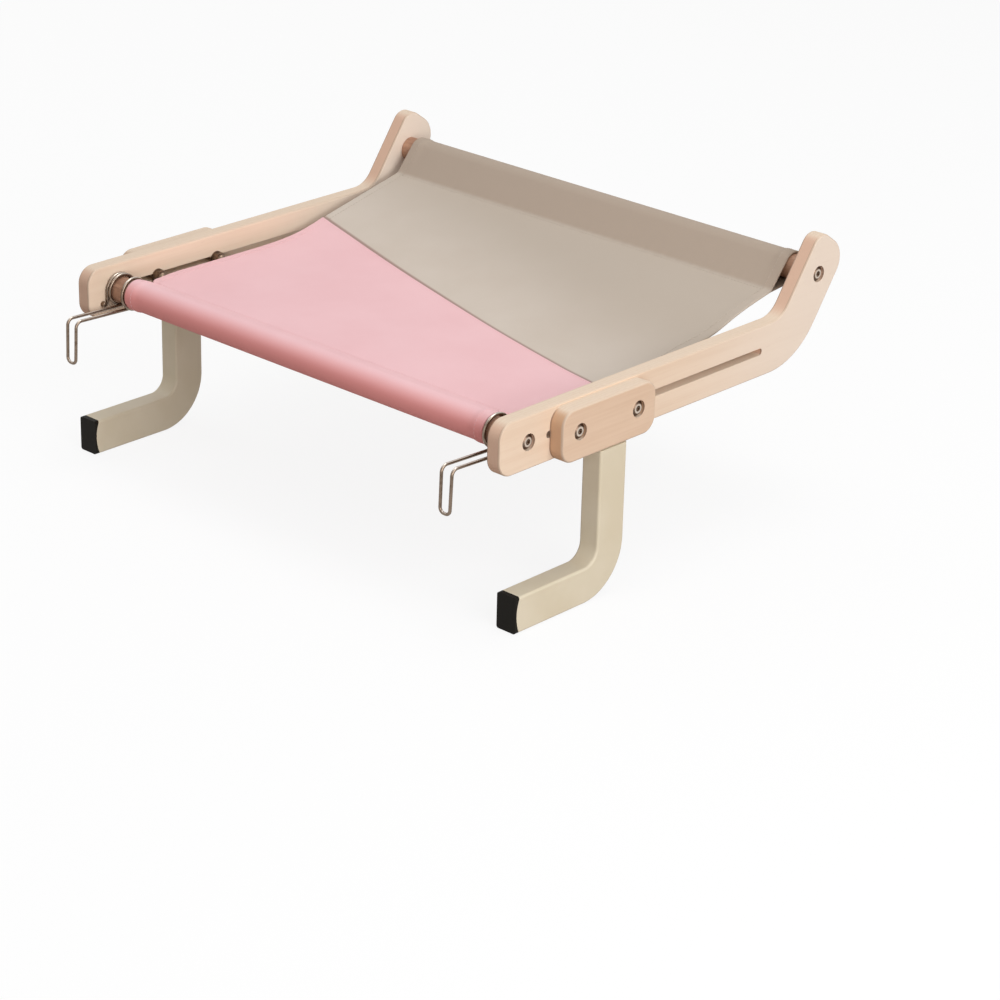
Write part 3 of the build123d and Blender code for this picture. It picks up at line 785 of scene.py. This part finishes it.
# the cloth's middle line seen from the side: front sleeve, sheet, rear sleeve
low = np.array([0, -sling["layers"]])
frontTop = tangentAngle(axisFront, stitchFront, 1)
frontUnder = tangentAngle(axisFront, stitchFront + low, -1)
backTop = tangentAngle(axisBack, stitchBack, -1) % (2 * math.pi)
backUnder = tangentAngle(axisBack, stitchBack + low, 1)
riseAt = axisFront[0] + sling["riseShare"] * (axisBack[0] - axisFront[0])
riseFrom = np.array([riseAt, stitchFront[1]])
bend = sling["stitchBend"]
flapBack = stitchFront + low + [sling["flap"], 0]
sheetWay = (riseFrom - stitchBack) / np.hypot(*(riseFrom - stitchBack))
flapFront = stitchBack + low + sheetWay * sling["flap"]
leaveFront = roundAt(axisFront, frontTop)
reachBack = roundAt(axisBack, backTop)
crossFront = softCorner(leaveFront, stitchFront, riseFrom, bend)
rising = softCorner(stitchFront, riseFrom, stitchBack, sling["riseBend"])
crossBack = softCorner(riseFrom, stitchBack, reachBack, bend)
closeFront = softCorner(flapBack, stitchFront + low, roundAt(axisFront, frontUnder), sling["flapBend"])
closeBack = softCorner(roundAt(axisBack, backUnder), stitchBack + low, flapFront, sling["flapBend"])
stretches = {
    "frontFlap": straight(flapBack, closeFront[0]) + closeFront[:-1],
    "frontBelow": straight(closeFront[-1], roundAt(axisFront, frontUnder)),
    "frontRound": arc(axisFront, frontUnder, frontTop - 2 * math.pi),
    "frontAbove": straight(leaveFront, crossFront[0]) + crossFront[:-1],
    "flat": straight(crossFront[-1], rising[0], sling["flatStep"]) + rising[:-1],
    "rise": straight(rising[-1], crossBack[0], sling["flatStep"]) + crossBack[:-1],
    "backAbove": straight(crossBack[-1], reachBack),
    "backRound": arc(axisBack, backTop, backUnder - (2 * math.pi if backUnder > backTop else 0)),
    "backBelow": straight(roundAt(axisBack, backUnder), closeBack[0]) + closeBack[:-1],
    "backFlap": straight(closeBack[-1], flapFront) + [flapFront],
}
line = np.array([p for stretch in stretches.values() for p in stretch])
run = np.concatenate([[0], np.cumsum(np.hypot(*np.diff(line, axis=0).T))])
lastPlace = dict(zip(stretches, np.cumsum([len(stretch) for stretch in stretches.values()])))
stretchEnd = {name: run[min(place, len(run) - 1)] for name, place in lastPlace.items()}
way = np.gradient(line, run, axis=0)
way /= np.hypot(*way.T)[:, None]
upright = np.stack([-way[:, 1], way[:, 0]], axis=1)
frontCross = run[lastPlace["frontAbove"] - len(crossFront) // 2]
backCross = run[lastPlace["rise"] - len(crossBack) // 2]


def smoothStep(value, low, high):
    t = np.clip((value - low) / (high - low), 0, 1)
    return t * t * (3 - 2 * t)


def halfWide(s):
    # half the sling's width: narrower beside the coils, and a little hollow between the sleeves
    y = np.interp(s, run, line[:, 0])
    share = np.clip((y - stitchFront[0]) / (stitchBack[0] - stitchFront[0]), 0, 1)
    notchAt = axisFront[0] + sling["notchDeep"]
    wider = smoothStep(y, notchAt, notchAt + sling["notchSlant"]) * (s > stretchEnd["frontRound"])
    wide = sling["frontHalf"] + (sling["backHalf"] - sling["frontHalf"]) * wider
    onFlap = smoothStep(s, stretchEnd["backRound"], stretchEnd["backBelow"])
    return wide - sling["edgeBow"] * np.sin(math.pi * share) - sling["flapNarrower"] * onFlap


railsApart = axisBack[0] - axisFront[0]
seamAt = (
    # from front to back at the middle, and the slant across
    axisFront[0] + (sling["seamLeftShare"] + sling["seamRightShare"]) / 2 * railsApart,
    (sling["seamRightShare"] - sling["seamLeftShare"]) * railsApart / (2 * sling["backHalf"]),
)


def seamRun(x):
    # how far along the line the seam lies, for each place across
    y = seamAt[0] + seamAt[1] * x
    sheet = (run >= stretchEnd["frontAbove"]) & (run <= stretchEnd["rise"])
    return np.interp(y, line[sheet, 0], run[sheet])


def slingPlace(x, s, lift):
    # points of the cloth: x across, s along, and lift off the middle surface
    wide = halfWide(s)
    edge = wide - np.abs(x)
    onHem = 1 - smoothStep(edge - sling["hemWide"], *sling["hemEase"])
    onFrontLoop = 1 - smoothStep(s, stretchEnd["frontRound"], frontCross)
    onBackLoop = smoothStep(s, backCross + sling["ringFrom"], stretchEnd["backAbove"])
    ease = sling["rippleEase"]
    flat = smoothStep(s, stretchEnd["frontAbove"], stretchEnd["frontAbove"] + ease)
    flat = flat * (1 - smoothStep(s, stretchEnd["rise"] - ease, stretchEnd["rise"]))

    # small gathers beside the two stitches across, and long uneven waves of slack between them
    frontReach, backReach = sling["puckerReach"]
    nearFront = np.exp(-np.abs(s - frontCross) / frontReach) * (s > stretchEnd["frontRound"])
    nearBack = np.exp(-np.abs(s - backCross) / backReach)
    nearBack = nearBack * (s > stretchEnd["frontAbove"]) * (s < stretchEnd["backAbove"])
    wave = 2 * math.pi / sling["puckerPitch"]
    pucker = np.sin(x * wave + 1.3 * np.sin(x * 23)) * (nearFront * 0.7 + nearBack)
    slack = np.sin(x * 19 + 0.6) * np.sin(s * 17 + 1) + 0.6 * np.sin(x * 41 + s * 26 + 2)
    height = lift + sling["pucker"] * pucker + sling["ripple"] * slack * flat
    swell = sling["hemSwellRound"] * np.maximum(onFrontLoop, onBackLoop) + sling["hemSwell"] * flat
    height += onHem * swell

    # the flaps make room for the sheet's hem and their own
    tucked = 1 - smoothStep(s, stretchEnd["frontFlap"], stretchEnd["frontBelow"])
    tucked = np.maximum(tucked, smoothStep(s, stretchEnd["backRound"], stretchEnd["backBelow"]))
    height += onHem * tucked * sling["hemTuck"] * sling["layers"]
    y = np.interp(s, run, line[:, 0]) + np.interp(s, run, upright[:, 0]) * height
    z = np.interp(s, run, line[:, 1]) + np.interp(s, run, upright[:, 1]) * height

    slackEdge = np.exp(-((y - sling["sagAt"]) / sling["sagReach"]) ** 2) * flat
    z -= sling["sag"] * slackEdge * smoothStep(x / wide, sling["sagFrom"], 1)
    tautEdge = flat * (1 - smoothStep(y, *sling["edgeLiftEnds"]))
    z += sling["edgeLift"] * tautEdge * smoothStep(np.abs(x) / wide, sling["edgeLiftFrom"], 1)
    return np.stack([x, y, z], axis=-1)


def foldOver(wide, gap):
    # a cut edge turned under: how far in from the edge, and how far down, at each step
    step = sling["bendStep"]
    edge = [sling["foldFrom"], wide + step, wide, wide - step]
    edge += [wide * 0.7, wide * 0.45, wide * 0.2, gap]
    steps = [(d, 0) for d in edge]
    for k in range(sling["foldSteps"] + 1):
        turn = math.pi * k / sling["foldSteps"]
        steps.append((gap / 2 * (1 - math.sin(turn)), -gap / 2 * (1 - math.cos(turn))))
    steps += [(d, -gap) for d in (gap, wide * 0.3, wide * 0.6, wide * sling["foldShare"])]
    return steps


hemSteps = foldOver(sling["hemWide"], sling["layers"])
middleShares = np.linspace(-sling["columnsReach"], sling["columnsReach"], sling["columns"])


def slingPanel(name, rows, material):
    # rows are functions of x that give the run along the cloth and a lift off it
    left = [(-1, d, lift) for d, lift in reversed(hemSteps)]
    right = [(1, d, lift) for d, lift in hemSteps]
    columns = left + [(share, 0, 0) for share in middleShares] + right
    points = []
    flats = []
    for row in rows:
        share = np.array([c[0] for c in columns])
        inset = np.array([c[1] for c in columns])
        lift = np.array([c[2] for c in columns])
        x = share * sling["frontHalf"]
        for _ in range(3):  # the run and the width settle on each other
            s, rowLift = row(x)
            x = share * halfWide(s) - np.sign(share) * inset
        points.append(slingPlace(x, s, lift + rowLift))
        flats.append(np.stack([x, s], axis=-1))
    points = np.concatenate(points)
    flats = np.concatenate(flats)
    wide = len(columns)
    faces = [
        (i * wide + j, i * wide + j + 1, (i + 1) * wide + j + 1, (i + 1) * wide + j)
        for i in range(len(rows) - 1) for j in range(wide - 1)
    ]
    piece = newPiece(name, points, faces, material)
    cut = piece.data.uv_layers.new(name="cut")
    corners = np.zeros(len(piece.data.loops), np.int32)
    piece.data.loops.foreach_get("vertex_index", corners)
    cut.data.foreach_set("uv", flats[corners].astype(np.float32).ravel())
    thick = piece.modifiers.new("thickness", "SOLIDIFY")
    thick.thickness = sling["cloth"]
    thick.offset = 0
    return piece


def steadyRow(s):
    return lambda x: (np.full_like(x, s), 0)


def slantingRow(straightAt, offset, share):
    # the share of the way from a row straight across to the seam's slant, offset along from it
    return lambda x: (straightAt + (seamRun(x) + offset - straightAt) * share, 0)


def besideSeam(offset, lift):
    return lambda x: (seamRun(x) + offset, lift)


lap = sling["seamLap"]
lastFront = stretchEnd["frontAbove"]
frontRows = [steadyRow(s) for s in run[run <= lastFront]]
frontRows += [
    slantingRow(lastFront, -lap - sling["seamClear"], share)
    for share in np.linspace(sling["firstRow"], 1, sling["frontRows"])
]
for d, lift in foldOver(lap, sling["layers"])[1:]:
    rise = sling["seamRise"] * math.exp(-d / sling["seamRiseReach"])
    frontRows.append(besideSeam(-d, lift + rise))

backRows = [besideSeam(d * mm, lift * mm) for d, lift in sling["underSeam"]]
firstBack = stretchEnd["rise"] - sling["straightFrom"]
backRows += [
    slantingRow(firstBack, sling["underSeam"][-1][0] * mm, 1 - share)
    for share in np.linspace(sling["firstRow"], 1, sling["backRows"])
]
backRows += [steadyRow(s) for s in run[run > firstBack + 0.5 * mm]]

frontCrest = stretchEnd["frontRound"] - sleeveR * (math.pi / 2 - frontTop)
# where each panel's painted shade lies along the cloth
paintedShadeStretch = {
    "pink": [frontCrest + d for d in clothLook["pinkPaintedShade"]],
    "taupe": [backCross + d for d in clothLook["taupePaintedShade"]],
}
for name, along in paintedShadeStretch.items():
    finishes[name + "Cloth"] = suedeCanvas(name + "Cloth", clothLook, clothLook[name], along, seamAt)
frontPanel = slingPanel("slingFrontPanel", frontRows, finishes["pinkCloth"])
backPanel = slingPanel("slingBackPanel", backRows, finishes["taupeCloth"])
for panel, node, slot in (
    (frontPanel, "sling_front_panel", "pink_cloth"), (backPanel, "sling_back_panel", "taupe_cloth"),
):
    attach(panel, "frame")
    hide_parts(node)
print("sling cut and sewn")


# stitching

stitch = {
    "long": 2.5 * mm,
    "pitch": 3.1 * mm,
    "thick": 0.42 * mm,
    "proud": 0.12 * mm,
    "sides": 6,
    # along a stitch: the place, the share of its thickness, and how far it sinks, in half thicknesses
    "shape": ((0, 0.35, 1.3), (0.16, 0.85, 0.45), (0.5, 1, 0), (0.84, 0.85, 0.45), (1, 0.35, 1.3)),
    "insideHem": 2 * mm,  # from the hem's turned edge
    "beforeFront": 1 * mm,  # from the corner that the line holds down
    "beforeBack": 1.2 * mm,
    "beforeSeam": 1.8 * mm,
    "seamLift": 0.3 * mm,
    "seamInset": 3 * mm,
    "acrossInset": 4 * mm,
    "endGap": 2 * mm,
    "seamGap": 3 * mm,  # from the seam back to the rear hems' first stitch
    "samples": 500,
    "samplesAcross": 400,
}


def threadLine(xs, runs, lift):
    # places a stitch's pitch apart along a line on the cloth, with the way up
    dense = slingPlace(xs, runs, lift + sling["cloth"] / 2 + stitch["proud"])
    under = slingPlace(xs, runs, lift - sling["cloth"] / 2)
    travelled = np.concatenate([[0], np.cumsum(np.linalg.norm(np.diff(dense, axis=0), axis=1))])
    count = int(travelled[-1] / stitch["pitch"])
    places = []
    for k in range(count):
        span = np.array([k * stitch["pitch"], k * stitch["pitch"] + stitch["long"]])
        pair = [np.array([np.interp(t, travelled, dense[:, i]) for i in range(3)]) for t in span]
        base = np.array([np.interp(span.mean(), travelled, under[:, i]) for i in range(3)])
        places.append((Vector(pair[0]), Vector(pair[1]), Vector(pair[0] + pair[1]) / 2 - Vector(base)))
    return places


def stitches(name, lines, material):
    points = []
    faces = []
    count = stitch["sides"]
    radius = stitch["thick"] / 2
    rings = len(stitch["shape"])
    for first, last, up in (s for one in lines for s in one):
        heading = (last - first).normalized()
        up = (up - heading * up.dot(heading)).normalized()
        across = heading.cross(up)
        start = len(points)
        for t, swell, sink in stitch["shape"]:
            centre = first.lerp(last, t) - up * radius * sink
            for k in range(count):
                turn = 2 * math.pi * k / count
                points.append(centre + (across * math.cos(turn) + up * math.sin(turn)) * radius * swell)
        for i in range(rings - 1):
            for k in range(count):
                a = start + i * count + k
                b = start + i * count + (k + 1) % count
                faces.append((a, b, b + count, a + count))
        faces.append(tuple(reversed(range(start, start + count))))
        faces.append(tuple(range(start + (rings - 1) * count, start + rings * count)))
    piece = newPiece(name, points, faces, material)
    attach(piece, "frame")
    return piece


def acrossLine(runAt):
    half = float(halfWide(np.array([runAt]))[0]) - stitch["acrossInset"]
    xs = np.linspace(-half, half, stitch["samplesAcross"])
    return xs, np.full_like(xs, runAt)


def hemLine(sign, fromRun, toRun):
    runs = np.linspace(fromRun, toRun, stitch["samples"])
    return sign * (halfWide(runs) - sling["hemWide"] + stitch["insideHem"]), runs


seamHalf = sling["backHalf"] - stitch["seamInset"]
seamXs = np.linspace(-seamHalf, seamHalf, stitch["samplesAcross"])
seamRuns = seamRun(seamXs) - stitch["beforeSeam"]
frontLines = [
    threadLine(*acrossLine(frontCross - stitch["beforeFront"]), 0),
    threadLine(seamXs, seamRuns, stitch["seamLift"]),
]
backLines = [threadLine(*acrossLine(backCross - stitch["beforeBack"]), 0)]
endGap = stitch["endGap"]
for sign in sides.values():
    seamHere = float(seamRun(np.array([sign * sling["frontHalf"]]))[0])
    frontHem = hemLine(sign, stretchEnd["frontBelow"] + endGap, seamHere - endGap)
    backHem = hemLine(sign, seamHere + stitch["seamGap"], stretchEnd["backRound"] - endGap)
    frontLines.append(threadLine(*frontHem, 0))
    backLines.append(threadLine(*backHem, 0))
frontThread = stitches("slingFrontStitching", frontLines, finishes["pinkThread"])
backThread = stitches("slingBackStitching", backLines, finishes["taupeThread"])
print("stitching laid")

# where the seam lies along the line at the left and right edges
seamEnds = np.array([-sling["backHalf"], sling["backHalf"]])
leftSeam, rightSeam = (float(s) for s in seamRun(seamEnds))


# camera, at the photograph's angle

camera = {
    "azimuth": 42.5,
    "elevation": 23.55,
    "roll": 1.46,
    "distance": 2357.2 * mm,
    "target": Vector((91.84, 145.14, -99.1)) * mm,
    "focalShare": 3.1124,  # focal length over the sensor's width
    "clip": (0.05, 50),
}


def placeCamera(look):
    turn, lift, roll = (math.radians(look[k]) for k in ("azimuth", "elevation", "roll"))
    back = Vector((math.sin(turn) * math.cos(lift), -math.cos(turn) * math.cos(lift), math.sin(lift)))
    right = Vector((math.cos(turn), math.sin(turn), 0))
    up = back.cross(right)
    rightRolled = right * math.cos(roll) + up * math.sin(roll)
    upRolled = up * math.cos(roll) - right * math.sin(roll)
    data = bpy.data.cameras.new("photoCamera")
    data.lens = look["focalShare"] * data.sensor_width
    data.clip_start, data.clip_end = look["clip"]
    made = bpy.data.objects.new("photoCamera", data)
    facing = Matrix((rightRolled, upRolled, back)).transposed().to_4x4()
    made.matrix_world = Matrix.Translation(look["target"] + back * look["distance"]) @ facing
    bpy.context.scene.collection.objects.link(made)
    bpy.context.scene.camera = made


placeCamera(camera)

# floor, lamps and surrounding light

studio = {
    "floorWide": 24,
    "floorBelow": 0.3 * mm,
    "floorSeen": (0.92, 0.92, 0.92, 1),
    "floorLit": (0.34, 0.28, 0.25, 1),  # what it throws back on the object
    "floorGlow": 0.88,
    "ambient": 0.36,
    "lamps": {
        "topLamp": {"at": (0.2, 0.5, 2.6), "power": 22, "wide": 1.3},
        "rightLamp": {"at": (2.2, -0.2, 1.3), "power": 28, "wide": 1.6},
        "lowRightLamp": {"at": (2.2, -1.0, 0.2), "power": 23, "wide": 1.4},
        "frontLamp": {"at": (0.9, -2.3, 0.3), "power": 4.5, "wide": 1.4},
        "leftLamp": {"at": (-2.0, 0.4, 1.6), "power": 9, "wide": 1.6},
    },
}


def cameraSees(shade):
    # 1 for rays that show the background itself, or show it in metal or through glass
    path = shade.node("ShaderNodeLightPath")
    seen = path.also("Is Camera Ray")
    for ray in ("Is Glossy Ray", "Is Transmission Ray"):
        seen = shade.maths("MAXIMUM", seen, path.also(ray))
    return seen


def layFloor(look):
    material, shade = startMaterial("studioFloor")
    seen = cameraSees(shade)
    colour = seen.tint(look["floorLit"], look["floorSeen"])
    plain = shade.node("ShaderNodeBsdfDiffuse", {}, {"Color": colour})
    glow = shade.node("ShaderNodeEmission", {}, {"Color": (1, 1, 1, 1), "Strength": 1})
    both = shade.node("ShaderNodeMixShader", {}, {0: seen * look["floorGlow"], 1: plain, 2: glow})
    shade.node("ShaderNodeOutputMaterial", {}, {"Surface": both})
    half = look["floorWide"] / 2
    low = cadBox[0].z - look["floorBelow"]
    corners = [(-half, -half, low), (half, -half, low), (half, half, low), (-half, half, low)]
    floor = newPiece("studioFloor", corners, [(0, 1, 2, 3)], material, smooth=False)


def hangLamps(look):
    aim = (cadBox[0] + cadBox[1]) / 2
    for name, lamp in look["lamps"].items():
        data = bpy.data.lights.new(name, "AREA")
        data.energy = lamp["power"]
        data.size = lamp["wide"]
        made = bpy.data.objects.new(name, data)
        made.location = lamp["at"]
        made.rotation_mode = "QUATERNION"
        made.rotation_quaternion = (Vector(lamp["at"]) - aim).to_track_quat("Z", "Y")
        bpy.context.scene.collection.objects.link(made)


def fillSky(look):
    world = bpy.data.worlds.new("studioSky")
    world.use_nodes = True
    world.node_tree.nodes.clear()
    shade = Shade(world.node_tree)
    strength = look["ambient"] + cameraSees(shade) * (1 - look["ambient"])
    sky = shade.node("ShaderNodeBackground", {}, {"Color": (1, 1, 1, 1), "Strength": strength})
    shade.node("ShaderNodeOutputWorld", {}, {"Surface": sky})
    bpy.context.scene.world = world


layFloor(studio)
hangLamps(studio)
fillSky(studio)
bpy.context.scene.view_settings.view_transform = "Standard"
print("studio ready")
